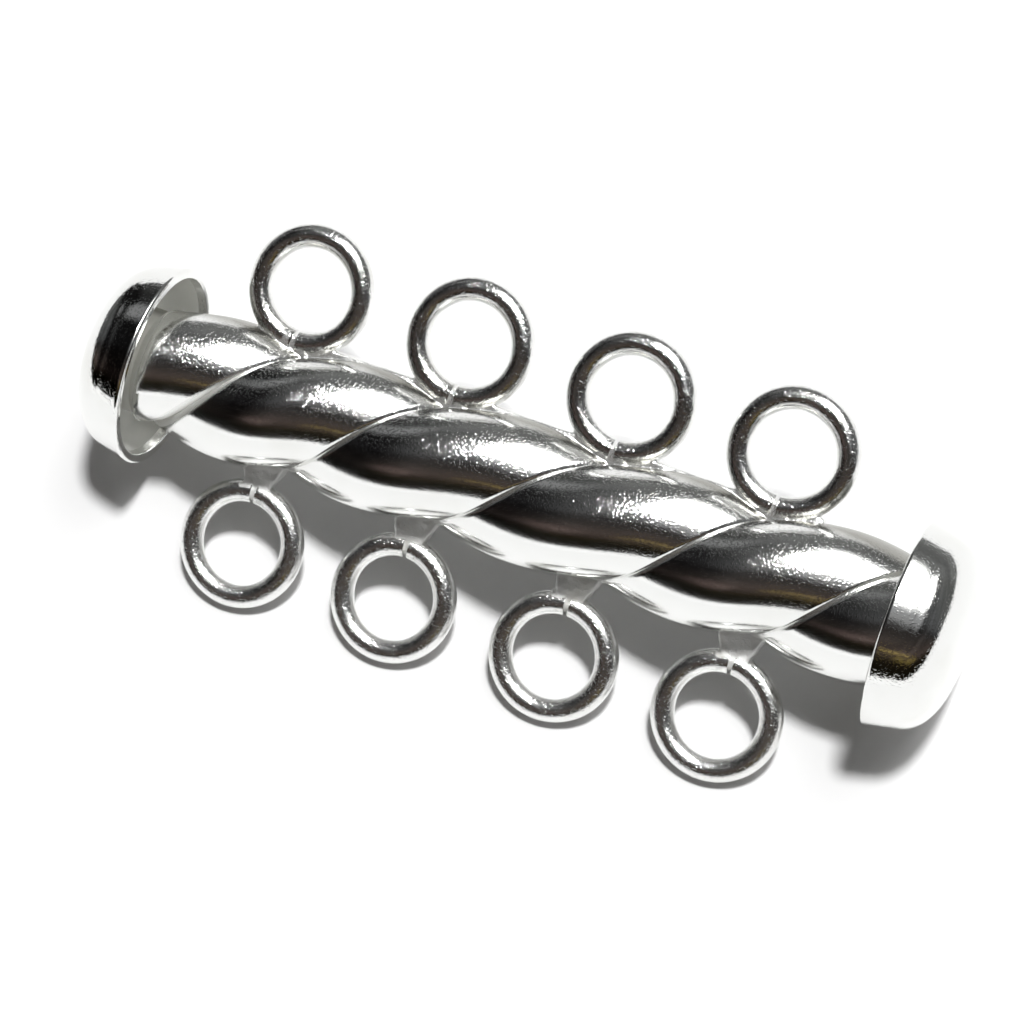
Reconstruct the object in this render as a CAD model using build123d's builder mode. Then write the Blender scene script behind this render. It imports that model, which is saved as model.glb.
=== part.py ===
from build123d import *
import os
from math import acos, asin, cos, degrees, radians, sin, sqrt

# Four-strand slide clasp: a twisted, fluted outer tube with four wire rings along its back,
# and a plain inner tube with four wire rings along its front, whose feet run in a slot of
# the outer tube. A domed cap closes the far end of each tube. Lengths are millimetres.
#
# X runs along the tubes, the inner tube is drawn out towards -X, and +Z is up. The clasp lies
# as it does on a table: the caps and the rims of the front rings touch the plane Z = 0.

# Strand rings, bent from round wire and soldered on
strands = 4
ring_pitch = 5.0
ring_row_shift = -0.17
ring_hole = 2.48
ring_wire = 0.70
wire_joint = 0.24
back_ring_sink = 0.46
front_ring_clear = 0.16

# Outer tube, rolled from sheet with twisted flutes
tube_diameter = 4.18
lobe_bulge_radius = 1.70
flutes = 2
crease_depth = 0.50
crease_width = 0.30
turn_length = 9.6
crest_turn = 3.0
outer_wall = 0.25
nose_taper = 0.45
nose_shoulder = 0.10
nose_end_gap = 0.35

# Inner tube, a plain sliding fit in the outer one
slide_clearance = 0.05
inner_wall = 0.30
inner_seam = 0.80
inner_end_gap = 0.30

# Feet that carry the rings, and the solder strip along the back
foot_thickness = 0.54
foot_length = 1.30
foot_neck = 0.60
foot_recess = 0.12
slot_clearance = 0.15
strip_width = 0.40
strip_rise = 0.05
strip_overrun = 1.35

# End caps, full stamped domes with a flared mouth and a plug that holds them in their tube
mouth_span = 22.95
cap_diameter = 6.06
cap_barrel = 5.72
cap_height = 2.05
cap_fullness = 2.8
cap_wall = 0.30
cap_lip = 0.30
plug_length = 1.10
plug_fit = 0.02
seat_gap = 0.03

# Radii and reaches that follow from them
crest_radius = tube_diameter / 2
valley_radius = crest_radius - crease_depth
inner_radius = valley_radius - outer_wall - slide_clearance
inner_bore = inner_radius - inner_wall
cap_radius = cap_diameter / 2
barrel_radius = cap_barrel / 2
ring_radius = (ring_hole + ring_wire) / 2
back_reach = crest_radius - back_ring_sink + ring_wire + ring_hole / 2
front_reach = crest_radius + front_ring_clear + ring_wire + ring_hole / 2
joint_sweep = degrees(wire_joint / ring_radius)
slot_width = foot_thickness + 2 * slot_clearance
ring_stations = [ring_row_shift + ring_pitch * (i - (strands - 1) / 2) for i in range(strands)]

# How the clasp lies: turned about the tube until the front rings meet the floor
lie_angle = asin((cap_radius - ring_wire / 2) / (front_reach + ring_radius))
toward_back = Vector(0, cos(lie_angle), sin(lie_angle))
ring_normal = Vector(0, -sin(lie_angle), cos(lie_angle))
axis_y = (front_reach - back_reach) * cos(lie_angle) / 2
axis_height = cap_radius
tube_axis = Axis((0, axis_y, axis_height), (1, 0, 0))
strand_plane = Plane(origin=(0, axis_y, axis_height), x_dir=(1, 0, 0), z_dir=ring_normal)


def across(x):
    """The plane square to the tubes at x, with its own x pointing at the back rings."""
    return Plane(origin=(x, axis_y, axis_height), x_dir=toward_back, z_dir=(1, 0, 0))


def dome_depth(radius):
    """How far past its mouth the inside of a cap lies at a radius from the axis."""
    crown = cap_height - cap_wall - cap_lip
    share = radius / (barrel_radius - cap_wall)
    return cap_lip + crown * (1 - share**cap_fullness) ** (1 / cap_fullness)


# Ends of the tubes along X, each seated in its own cap
mouth = mouth_span / 2
outer_far_end = mouth + dome_depth(crest_radius) - seat_gap
outer_open_end = -mouth - dome_depth(valley_radius) + nose_end_gap
plug_face = outer_far_end - plug_length
inner_far_end = -mouth - dome_depth(inner_radius) + seat_gap
inner_free_end = plug_face - inner_end_gap


def polar(radius, angle):
    """A point at a radius and an angle in degrees."""
    return (radius * cos(radians(angle)), radius * sin(radians(angle)))


def lobe_outline(first_crest):
    """One closed outline of round lobes with a sharp crease between each two."""
    half_lobe = 180 / flutes
    crease_half_angle = degrees(asin(crease_width / 2 / crest_radius))
    shoulder_angle = half_lobe - crease_half_angle
    offset_of_arc = crest_radius - lobe_bulge_radius
    along = offset_of_arc * cos(radians(shoulder_angle))
    beside = offset_of_arc * sin(radians(shoulder_angle))
    shoulder_radius = along + sqrt(lobe_bulge_radius**2 - beside**2)
    for lobe in range(flutes):
        crest = first_crest + 2 * half_lobe * lobe
        start = polar(shoulder_radius, crest - shoulder_angle)
        end = polar(shoulder_radius, crest + shoulder_angle)
        valley = polar(valley_radius, crest + half_lobe)
        next_start = polar(shoulder_radius, crest + 2 * half_lobe - shoulder_angle)
        ThreePointArc(start, polar(crest_radius, crest), end)
        Polyline(end, valley, next_start)


def feet(base, reach):
    """The rings' feet on the strand plane, from a tube's wall out into the wire's joint."""
    side = 1 if reach > 0 else -1
    top = reach - side * (ring_hole / 2 + foot_recess)
    for x in ring_stations:
        Polygon(
            (x - foot_length / 2, side * base),
            (x + foot_length / 2, side * base),
            (x + foot_neck / 2, top),
            (x - foot_neck / 2, top),
            align=None,
        )


def ring_places(reach):
    """Where a row of rings sits, each turned so that its wire's joint faces the tube."""
    facing_tube = -90 if reach > 0 else 90
    turn = Rot(Z=facing_tube + joint_sweep / 2)
    return [strand_plane.location * Pos(x, reach, 0) * turn for x in ring_stations]


# Outer tube: hollow flutes swept along the axis while they turn left-handed about it
with BuildPart() as outer_tube:
    with BuildSketch(across(outer_open_end)) as flute_section:
        with BuildLine():
            lobe_outline(crest_turn - 360 * outer_open_end / turn_length)
        make_face()
        offset(amount=-outer_wall, mode=Mode.SUBTRACT)
    tube_start = (outer_open_end, axis_y, axis_height)
    tube_length = outer_far_end - outer_open_end
    with BuildLine() as tube_path:
        Line(tube_start, (outer_far_end, axis_y, axis_height))
    with BuildLine() as twist_guide:
        Helix(turn_length, tube_length, crest_radius, tube_start, (1, 0, 0), lefthand=True)
    sweep(path=tube_path.edge(), binormal=twist_guide.edge())

    # The open end narrows to a round nose that enters the inner tube's cap
    shoulder_x = -mouth + nose_shoulder
    spare = crest_radius
    slope = nose_taper / (crest_radius - valley_radius)
    with BuildSketch(strand_plane) as nose_waste:
        with BuildLine():
            Polyline(
                (outer_open_end - spare, valley_radius),
                (shoulder_x - nose_taper, valley_radius),
                (shoulder_x + slope * spare, crest_radius + spare),
                (outer_open_end - spare, crest_radius + spare),
                close=True,
            )
        make_face()
    revolve(axis=tube_axis, mode=Mode.SUBTRACT)

    # Solder strip and feet along the back
    strip_base = valley_radius - outer_wall / 2
    strip_top = crest_radius + strip_rise
    strip_ends = (ring_stations[0] - strip_overrun, ring_stations[-1] + strip_overrun)
    with BuildSketch(strand_plane) as back_strip:
        with Locations((sum(strip_ends) / 2, (strip_base + strip_top) / 2)):
            Rectangle(strip_ends[1] - strip_ends[0], strip_top - strip_base)
    extrude(amount=strip_width / 2, both=True)
    with BuildSketch(strand_plane) as back_feet:
        feet(strip_base, back_reach)
    extrude(amount=foot_thickness / 2, both=True)

    # Back rings
    with Locations(ring_places(back_reach)):
        Torus(ring_radius, ring_wire / 2, major_angle=360 - joint_sweep, align=None)

    # The slot, from end to end, that the feet of the front rings run in
    with BuildSketch(across(outer_open_end)) as slot_section:
        with Locations((-crest_radius, 0)):
            Rectangle(2 * crest_radius, slot_width)
    extrude(amount=tube_length, mode=Mode.SUBTRACT)

os.makedirs("parts", exist_ok=True)
outer_tube.part.label = "outer_tube"
export_step(outer_tube.part, "parts/outer_tube.step")

# Inner tube: plain, with its rings on feet that reach out through the slot
with BuildPart() as inner_tube:
    inner_length = inner_free_end - inner_far_end
    with BuildSketch(across(inner_far_end)) as inner_section:
        Circle(inner_radius)
        Circle(inner_bore, mode=Mode.SUBTRACT)
        with Locations((inner_radius, 0)):
            Rectangle(2 * inner_radius, inner_seam, mode=Mode.SUBTRACT)
    extrude(amount=inner_length)
    with BuildSketch(strand_plane) as front_feet:
        feet(inner_radius - inner_wall / 2, -front_reach)
    extrude(amount=foot_thickness / 2, both=True)
    with Locations(ring_places(-front_reach)):
        Torus(ring_radius, ring_wire / 2, major_angle=360 - joint_sweep, align=None)

inner_tube.part.label = "inner_tube"
export_step(inner_tube.part, "parts/inner_tube.step")


def dome_points(crown, barrel, end_radius):
    """Points of a dome, fuller than an ellipse, from its barrel in to a smaller radius."""
    spans = 8
    last = acos((end_radius / barrel) ** (cap_fullness / 2))
    turns = [last * i / spans for i in range(1, spans)]
    power = 2 / cap_fullness
    between = [(cap_lip + crown * sin(a) ** power, barrel * cos(a) ** power) for a in turns]
    return [(cap_lip, barrel), *between, (cap_lip + crown * sin(last) ** power, end_radius)]


def cap_outline(plug_radius, tube_end_depth):
    """Half of a cap's section: x is the depth past the mouth, y the radius from the axis."""
    mouth_inside = cap_radius - cap_wall
    crown = cap_height - cap_lip
    plug_end = tube_end_depth - plug_length
    outside = dome_points(crown, barrel_radius, 0)
    inside = dome_points(crown - cap_wall, barrel_radius - cap_wall, plug_radius)
    Polyline(inside[0], (0, mouth_inside), (0, cap_radius), outside[0])
    Spline(*outside, tangents=((1, 0), (0, -1)))
    Polyline(outside[-1], (plug_end, 0), (plug_end, plug_radius), inside[-1])
    Spline(*inside)


# End cap of the outer tube
outer_cap_plane = Plane(origin=(mouth, axis_y, axis_height), x_dir=(1, 0, 0), z_dir=ring_normal)
with BuildPart() as outer_end_cap:
    with BuildSketch(outer_cap_plane) as outer_cap_half:
        with BuildLine():
            cap_outline(valley_radius - outer_wall - plug_fit, outer_far_end - mouth)
        make_face()
    revolve(axis=tube_axis)

outer_end_cap.part.label = "outer_end_cap"
export_step(outer_end_cap.part, "parts/outer_end_cap.step")

# End cap of the inner tube
inner_cap_plane = Plane(origin=(-mouth, axis_y, axis_height), x_dir=(-1, 0, 0), z_dir=ring_normal)
with BuildPart() as inner_end_cap:
    with BuildSketch(inner_cap_plane) as inner_cap_half:
        with BuildLine():
            cap_outline(inner_bore - plug_fit, -mouth - inner_far_end)
        make_face()
    revolve(axis=tube_axis)

inner_end_cap.part.label = "inner_end_cap"
export_step(inner_end_cap.part, "parts/inner_end_cap.step")
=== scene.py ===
import math
from collections import namedtuple

import bmesh
import bpy
from mathutils import Matrix, Vector


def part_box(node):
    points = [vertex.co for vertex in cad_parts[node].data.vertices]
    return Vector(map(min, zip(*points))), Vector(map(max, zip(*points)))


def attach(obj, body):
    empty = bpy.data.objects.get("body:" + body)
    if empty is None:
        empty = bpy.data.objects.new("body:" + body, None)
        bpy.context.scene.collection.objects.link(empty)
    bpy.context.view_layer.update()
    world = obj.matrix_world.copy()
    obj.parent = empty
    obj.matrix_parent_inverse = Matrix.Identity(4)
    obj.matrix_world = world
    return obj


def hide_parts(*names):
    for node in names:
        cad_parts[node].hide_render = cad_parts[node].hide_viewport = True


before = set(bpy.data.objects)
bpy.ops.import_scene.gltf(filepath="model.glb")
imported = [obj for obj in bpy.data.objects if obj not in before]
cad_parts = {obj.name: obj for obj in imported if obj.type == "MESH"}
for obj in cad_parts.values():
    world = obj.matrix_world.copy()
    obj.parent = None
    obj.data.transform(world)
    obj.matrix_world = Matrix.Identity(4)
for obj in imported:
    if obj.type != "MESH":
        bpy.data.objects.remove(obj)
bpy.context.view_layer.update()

bl_info = {
    "name": "Multi-strand slide clasp",
    "version": (1, 0, 0),
    "blender": (4, 5, 0),
    "location": "3D View > Sidebar > Clasp",
    "description": "Builds the dressed slide clasp and its studio around the packed solids",
    "category": "Add Mesh",
}

# Lengths are metres, as in the frame, and are written as millimetres times MM. x runs along the
# tubes, the inner tube is drawn out towards -x, and z is up.
MM = 0.001
FULL_TURN = 2 * math.pi

# Edges bent further than this stay crisp
CRISP_EDGE = math.radians(38)

# The caps give the height and place of the tubes' common axis
CAP_LOW, CAP_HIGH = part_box("outer_end_cap")
AXIS_Y = (CAP_LOW.y + CAP_HIGH.y) / 2
AXIS_Z = (CAP_LOW.z + CAP_HIGH.z) / 2
OUTER_MOUTH = CAP_LOW.x
INNER_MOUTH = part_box("inner_end_cap")[1].x
CAP_RADIUS = (CAP_HIGH.z - CAP_LOW.z) / 2
CAP_HEIGHT = CAP_HIGH.x - CAP_LOW.x
OUTER_START, OUTER_END = (corner.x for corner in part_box("outer_tube"))
INNER_START, INNER_END = (corner.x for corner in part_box("inner_tube"))


def length(name, about, millimetres):
    """A length property whose default is given in millimetres."""
    return bpy.props.FloatProperty(
        name=name,
        description=about,
        default=millimetres * MM,
        unit="LENGTH",
        subtype="DISTANCE",
        precision=5,
    )


def lengths(name, about, millimetres):
    """A row of lengths whose defaults are given in millimetres."""
    return bpy.props.FloatVectorProperty(
        name=name,
        description=about,
        default=tuple(value * MM for value in millimetres),
        size=len(millimetres),
        unit="LENGTH",
        subtype="XYZ_LENGTH",
    )


def angle(name, about, degrees):
    """An angle property whose default is given in degrees."""
    return bpy.props.FloatProperty(
        name=name,
        description=about,
        default=math.radians(degrees),
        unit="ROTATION",
        subtype="ANGLE",
    )


def amount(name, about, value, low=0.0, high=1000.0):
    """A plain number property."""
    return bpy.props.FloatProperty(
        name=name, description=about, default=value, min=low, max=high
    )


def colour(name, about, value):
    """A colour property."""
    return bpy.props.FloatVectorProperty(
        name=name, description=about, default=value, size=3, subtype="COLOR", min=0.0, max=1.0
    )


class FluteSizes(bpy.types.PropertyGroup):
    """Sizes of the twisted outer tube"""

    crest_radius: length("Crest radius", "Radius over the crests of the flutes", 2.09)
    bulge_radius: length("Bulge radius", "Radius of one flute's own round", 1.70)
    valley_radius: length("Valley radius", "Radius at the bottom of the creases", 1.59)
    crease_width: length("Crease width", "Width of the sharp crease between two flutes", 0.40)
    wall: length("Wall", "Thickness of the sheet", 0.25)
    turn_length: length("Turn length", "Length in which the flutes turn once", 9.6)
    crest_turn: angle("Crest turn", "Where a crest stands at the middle of the clasp", 3.0)
    open_crease: length("Open crease", "Where the creases start to open towards the nose", -8.0)
    nose_taper: length("Nose taper", "Length of the narrowed open end", 0.45)
    nose_shoulder: length("Nose shoulder", "How far past the mouth the narrowing starts", 0.10)
    slot_width: length("Slot width", "Width of the slot that the feet run in", 0.84)
    waviness: length("Waviness", "Height of the slow unevenness left by rolling", 0.006)


class SliderSizes(bpy.types.PropertyGroup):
    """Sizes of the plain inner tube"""

    radius: length("Radius", "Outside radius of the sliding tube", 1.29)
    wall: length("Wall", "Thickness of its sheet", 0.30)
    seam: length("Seam", "Width of the open seam along its back", 0.80)
    edge_round: length("Edge round", "Rounding of its cut edges", 0.04)


class RingSizes(bpy.types.PropertyGroup):
    """Sizes of the wire rings and where the two rows stand"""

    count: bpy.props.IntProperty(name="Rings", description="Rings in each row", default=4, min=1)
    pitch: length("Pitch", "Distance from ring to ring", 5.0)
    row_shift: length("Row shift", "Shift of both rows along the tubes", -0.17)
    ring_radius: length("Ring radius", "Radius of the wire's centreline", 1.578)
    wire_radius: length("Wire radius", "Radius of the round wire", 0.35)
    joint: length("Joint", "Gap between the wire's ends, filled by solder", 0.15)
    back_reach: length("Back reach", "From the axis to the centres of the back rings", 3.57)
    front_reach: length("Front reach", "From the axis to the centres of the front rings", 4.19)
    unevenness: length("Unevenness", "How far the bent wire strays from a true circle", 0.02)
    back_shifts: lengths(
        "Back shifts",
        "How far each back ring was soldered off its place",
        (-0.11, -0.04, -0.03, -0.11),
    )
    front_shifts: lengths(
        "Front shifts",
        "How far each front ring was soldered off its place",
        (0.03, -0.04, 0.04, 0.08),
    )


class SolderSizes(bpy.types.PropertyGroup):
    """Sizes of the soldered feet and the strip along the back"""

    foot_length: length("Foot length", "Length of a foot along the tube", 1.30)
    front_spread: length("Front spread", "How much longer the front feet have run", 0.70)
    foot_neck: length("Foot neck", "Length of a foot where it meets the wire", 0.60)
    foot_thickness: length("Foot thickness", "Thickness of a foot", 0.54)
    strip_width: length("Strip width", "Width of the strip along the back", 0.40)
    strip_overrun: length("Strip overrun", "How far the strip passes the outer rings", 1.35)
    strip_rise: length("Strip rise", "How far the strip stands above the crests", 0.02)
    fillet: length("Fillet", "How far the solder creeps up what it joins", 0.16)
    grain: length("Grain", "Cell size of the solder's mesh", 0.028)


class CapSizes(bpy.types.PropertyGroup):
    """Sizes of the two domed end caps"""

    wall: length("Wall", "Thickness of the stamped sheet", 0.30)
    barrel: length("Barrel", "Radius of the dome behind the flared mouth", 2.89)
    fullness: amount("Fullness", "Two is an ellipse, more is a fuller dome", 2.8, 1.5, 6.0)
    lip: length("Lip", "Depth behind the mouth where the dome starts", 0.30)
    flare: length("Flare", "How far the mouth's flare runs into the dome", 0.85)
    rolled_rim: length("Rolled rim", "Rounding of the mouth's outer edge", 0.11)
    rim_round: length("Rim round", "Rounding of the mouth's inner edge", 0.08)
    bright_lip: length("Bright lip", "How far the polish reaches inside the mouth", 0.32)
    outer_plug: length("Outer plug", "Radius of the plug in the outer tube", 1.30)
    inner_plug: length("Inner plug", "Radius of the plug in the inner tube", 0.97)
    plug_depth: length("Plug depth", "How far the plug reaches back towards the mouth", 1.10)


class FinishColours(bpy.types.PropertyGroup):
    """Colours and polish of the metal and the floor"""

    silver: colour("Silver", "Colour of the polished silver", (0.89, 0.895, 0.88))
    tarnish: colour("Tarnish", "Colour of the silver where it has dulled", (0.64, 0.63, 0.56))
    matt: colour("Matt silver", "Colour of silver that was never polished", (0.93, 0.93, 0.89))
    # This dark colour is partly heat-stained silver and partly painted shade for the dark things
    # mirrored in the tube's back
    stain: colour("Heat stain", "Colour of silver beside the soldering", (0.38, 0.375, 0.345))
    floor: colour("Floor", "Colour of the pale floor", (0.86, 0.86, 0.86))
    polish: amount("Roughness", "Roughness of the polished silver", 0.06, 0.0, 1.0)


class StudioSettings(bpy.types.PropertyGroup):
    """Strengths of the studio's lights and the camera's lens"""

    key_strength: amount("Key strength", "Strength of the main light", 3.0)
    key_size: angle("Key size", "Width of the main light as the clasp sees it", 8.0)
    lamp: amount("Lamp", "Brightness of the large soft light that the silver mirrors", 6.0)
    room: amount("Room", "Brightness of the dim room round the floor", 1.0)
    lens: amount("Lens", "Focal length of the camera in millimetres", 118.0)


class ClaspSettings(bpy.types.PropertyGroup):
    """All settings of the clasp and its studio"""

    flutes: bpy.props.PointerProperty(type=FluteSizes)
    slider: bpy.props.PointerProperty(type=SliderSizes)
    rings: bpy.props.PointerProperty(type=RingSizes)
    solder: bpy.props.PointerProperty(type=SolderSizes)
    caps: bpy.props.PointerProperty(type=CapSizes)
    finish: bpy.props.PointerProperty(type=FinishColours)
    studio: bpy.props.PointerProperty(type=StudioSettings)


def settings():
    """The clasp's settings, kept on the scene."""
    return bpy.context.scene.clasp


def lie_angle():
    """How far the clasp is turned about its axis, so that its front rings rest on the floor."""
    rings = settings().rings
    return math.asin((CAP_RADIUS - rings.wire_radius) / (rings.front_reach + rings.ring_radius))


def lying():
    """From the clasp's own frame, x along it and y towards the back rings, to the floor's."""
    return Matrix.Translation((0, AXIS_Y, AXIS_Z)) @ Matrix.Rotation(lie_angle(), 4, "X")


class Value:
    """A number inside a node tree, with the usual arithmetic."""

    def __init__(self, tree, socket):
        self.tree = tree
        self.socket = socket

    def worked(self, operation, *others):
        """What a math node makes of this number and the others."""
        node = self.tree.nodes.new("ShaderNodeMath")
        node.operation = operation
        for slot, item in zip(node.inputs, (self, *others)):
            if isinstance(item, Value):
                self.tree.links.new(item.socket, slot)
            else:
                slot.default_value = item
        return Value(self.tree, node.outputs[0])

    def __add__(self, other):
        return self.worked("ADD", other)

    def __sub__(self, other):
        return self.worked("SUBTRACT", other)

    def __mul__(self, other):
        return self.worked("MULTIPLY", other)

    def __truediv__(self, other):
        return self.worked("DIVIDE", other)

    def __neg__(self):
        return self.worked("MULTIPLY", -1.0)

    def __pow__(self, other):
        return self.worked("POWER", other)

    __radd__ = __add__
    __rmul__ = __mul__

    def __rsub__(self, other):
        return -self + other

    def sin(self):
        """The sine of this angle."""
        return self.worked("SINE")

    def cos(self):
        """The cosine of this angle."""
        return self.worked("COSINE")

    def root(self):
        """The square root."""
        return self.worked("SQRT")

    def size(self):
        """The number without its sign."""
        return self.worked("ABSOLUTE")

    def turn(self, other):
        """The angle of the point (other, self)."""
        return self.worked("ARCTAN2", other)

    def least(self, other):
        """The smaller of two numbers."""
        return self.worked("MINIMUM", other)

    def most(self, other):
        """The greater of two numbers."""
        return self.worked("MAXIMUM", other)

    def melt(self, other, reach):
        """The smaller of two numbers, blended over a reach."""
        return self.worked("SMOOTH_MIN", other, reach)

    def wrap(self, high, low):
        """The number brought between two ends by whole spans."""
        return self.worked("WRAP", high, low)

    def over(self, other):
        """One where this is greater than the other, else nought."""
        return self.worked("GREATER_THAN", other)

    def equals(self, other, slack):
        """One where this is within a slack of the other, else nought."""
        return self.worked("COMPARE", other, slack)

    def held(self):
        """The number kept between nought and one."""
        return self.most(0.0).least(1.0)

    def share(self, start, end):
        """How far this has come from start to end, between nought and one."""
        return ((self - start) / (end - start)).held()


class Tree:
    """A node tree under construction."""

    def __init__(self, tree):
        self.tree = tree

    def feed(self, slot, value):
        """Links a value to a socket, or writes a plain one into it."""
        if isinstance(value, Value):
            self.tree.links.new(value.socket, slot)
        elif isinstance(value, bpy.types.NodeSocket):
            self.tree.links.new(value, slot)
        else:
            slot.default_value = value

    def node(self, kind, choices=(), **inputs):
        """Adds a node; its inputs are named with underscores for spaces."""
        made = self.tree.nodes.new(kind)
        for key, value in dict(choices).items():
            setattr(made, key, value)
        for key, value in inputs.items():
            name = key.replace("_", " ")
            self.feed(next(s for s in made.inputs if s.name == name and s.enabled), value)
        return made

    def value(self, kind, choices=(), **inputs):
        """Adds a node and gives its first output as a number."""
        return Value(self.tree, self.node(kind, choices, **inputs).outputs[0])

    def noise(self, place, *, scale, detail):
        """Soft random numbers about a half, by place."""
        return self.value("ShaderNodeTexNoise", Vector=place, Scale=scale, Detail=detail)

    def vector(self, x, y, z):
        """Three numbers as one vector."""
        return self.node("ShaderNodeCombineXYZ", X=x, Y=y, Z=z).outputs[0]

    def parts(self, vector):
        """The three numbers of a vector."""
        outputs = self.node("ShaderNodeSeparateXYZ", Vector=vector).outputs
        return [Value(self.tree, part) for part in outputs]


class Recipe(Tree):
    """A Geometry Nodes tree with named inputs and one mesh output."""

    def __init__(self, name):
        super().__init__(bpy.data.node_groups.new(name, "GeometryNodeTree"))
        self.given = {}
        interface = self.tree.interface
        interface.new_socket("Mesh", in_out="OUTPUT", socket_type="NodeSocketGeometry")
        self.source = self.tree.nodes.new("NodeGroupInput")

    def take(self, name, value):
        """Adds a named input and remembers the value that this piece gives it."""
        kind = "NodeSocketInt" if isinstance(value, int) else "NodeSocketFloat"
        item = self.tree.interface.new_socket(name, in_out="INPUT", socket_type=kind)
        self.given[item.identifier] = value
        return Value(self.tree, self.source.outputs[name])

    def take_sizes(self, group, *names):
        """Adds an input for each of these sizes of a settings group, under the size's own name."""
        labels = group.bl_rna.properties
        return [self.take(labels[name].name, getattr(group, name)) for name in names]

    def keep(self, name, geometry, value):
        """Stores a number on the points under a name that the material reads."""
        return self.node(
            "GeometryNodeStoreNamedAttribute",
            {"data_type": "FLOAT", "domain": "POINT"},
            Geometry=geometry,
            Name=name,
            Value=value,
        ).outputs[0]

    def position(self):
        """The three parts of each point's place."""
        return self.parts(self.node("GeometryNodeInputPosition").outputs[0])

    def moved(self, geometry, **where):
        """The geometry with its points set to a Position or moved by an Offset."""
        return self.node("GeometryNodeSetPosition", Geometry=geometry, **where).outputs[0]

    def finish(self, name, geometry, material, body):
        """Ends the tree, runs it on a new object and returns that as a plain mesh piece."""
        smooth = self.node("GeometryNodeSetShadeSmooth", Geometry=geometry).outputs[0]
        sharp = self.value("GeometryNodeInputMeshEdgeAngle").over(CRISP_EDGE)
        edged = self.node(
            "GeometryNodeSetShadeSmooth",
            {"domain": "EDGE"},
            Geometry=smooth,
            Selection=sharp,
            Shade_Smooth=False,
        ).outputs[0]
        real = self.node("GeometryNodeRealizeInstances", Geometry=edged).outputs[0]
        dressed = self.node("GeometryNodeSetMaterial", Geometry=real, Material=material)
        sink = self.tree.nodes.new("NodeGroupOutput")
        self.feed(sink.inputs[0], dressed.outputs[0])
        piece = new_piece(name, bpy.data.meshes.new(name))
        modifier = piece.modifiers.new("Recipe", "NODES")
        modifier.node_group = self.tree
        for identifier, value in self.given.items():
            modifier[identifier] = value
        graph = bpy.context.evaluated_depsgraph_get()
        made = bpy.data.meshes.new_from_object(
            piece.evaluated_get(graph), preserve_all_data_layers=True, depsgraph=graph
        )
        piece.modifiers.remove(modifier)
        if not made.polygons:
            raise RuntimeError(f"{name} came out empty")
        made.transform(lying())
        turn_outward(made)
        piece.data = made
        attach(piece, body)
        return piece


def new_piece(name, mesh):
    """Puts a mesh, a lamp or a camera into the scene as an object at the origin."""
    piece = bpy.data.objects.new(name, mesh)
    bpy.context.scene.collection.objects.link(piece)
    return piece


def turn_outward(mesh):
    """Makes every face of a closed mesh look outward."""
    shell = bmesh.new()
    shell.from_mesh(mesh)
    bmesh.ops.recalc_face_normals(shell, faces=shell.faces)
    shell.to_mesh(mesh)
    shell.free()


# The sheet of the fluted tube: its points along and round, the share of its length that lies
# outside, and how much closer the points stand towards the creases
TUBE_ROWS = 400
TUBE_COLUMNS = 176
OUTSIDE_SHARE = 0.68
CROWDING = 0.42
CLOSED_WITHIN = 3e-7

# The open end has rows of its own, so that its narrowing comes out smooth
NOSE_ROWS = 0.13
NOSE_REACH = 1.25 * MM

# Angles from the back rings over which the darker band comes in, heat-stained silver together with
# painted shade, and the rubbed lower front
STAIN_ANGLES = (0.46, 0.16)
RUBBED_ANGLES = (math.radians(78), math.radians(106))

# How much wider the crease ends at the open end
CREASE_WIDENING = 1.6

# How a hand-rolled twist strays from an even one: places along the tube, from nought to one, and
# the straying there as a share of the span
STRAY_SPAN = math.radians(100)
TWIST_STRAY = (
    (0.0, 0.10),
    (0.105, 0.095),
    (0.32, -0.10),
    (0.505, -0.035),
    (0.69, 0.09),
    (0.87, -0.025),
    (1.0, -0.02),
)


def crest_angle(recipe, x, turn_length, crest_turn):
    """Where a crest stands at x, with the uneven twist of a hand-rolled tube."""
    curve = recipe.node(
        "ShaderNodeFloatCurve", Value=(x - OUTER_START) / (OUTER_END - OUTER_START)
    )
    points = curve.mapping.curves[0].points
    for point, (place, stray) in zip(points, (TWIST_STRAY[0], TWIST_STRAY[-1])):
        point.location = (place, 0.5 + stray)
    for place, stray in TWIST_STRAY[1:-1]:
        points.new(place, 0.5 + stray)
    curve.mapping.update()
    stray = Value(recipe.tree, curve.outputs[0]) - 0.5
    return crest_turn - x * FULL_TURN / turn_length + stray * STRAY_SPAN


def flute_radius(turned, crest, bulge, valley, crease):
    """Radius of a flute at an angle from its crest, and how deep in the crease that lies."""
    offset = crest - bulge
    across = offset * turned.sin()
    round_part = offset * turned.cos() + (bulge * bulge - across * across).root()
    at_crease = (bulge * bulge - offset * offset).root()
    from_crease = (math.pi / 2 - turned.size()) * at_crease
    depth = (1.0 - from_crease / (crease / 2.0)).most(0.0)
    return round_part - (at_crease - valley) * depth * depth, depth


def sheet_layout(recipe):
    """Spreads the flat sheet's points over both flutes, down the outside and back up the inside."""
    across, along, _ = recipe.position()
    second_flute = across.over(-0.0001)
    side = (across + 0.5) * 4.0 - second_flute * 2.0 - 1.0
    turned = (side * (1 + CROWDING) - side * side * side * CROWDING) * (math.pi / 2)
    going = (along + 0.5) / OUTSIDE_SHARE
    coming = (0.5 - along) / (1.0 - OUTSIDE_SHARE)
    # The last row falls on the first again, which closes the wall at the open end
    inside = going.over(1.0) * (1.0 - along.over(0.4999))
    return turned, turned + second_flute * math.pi, going.least(coming), inside


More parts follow.
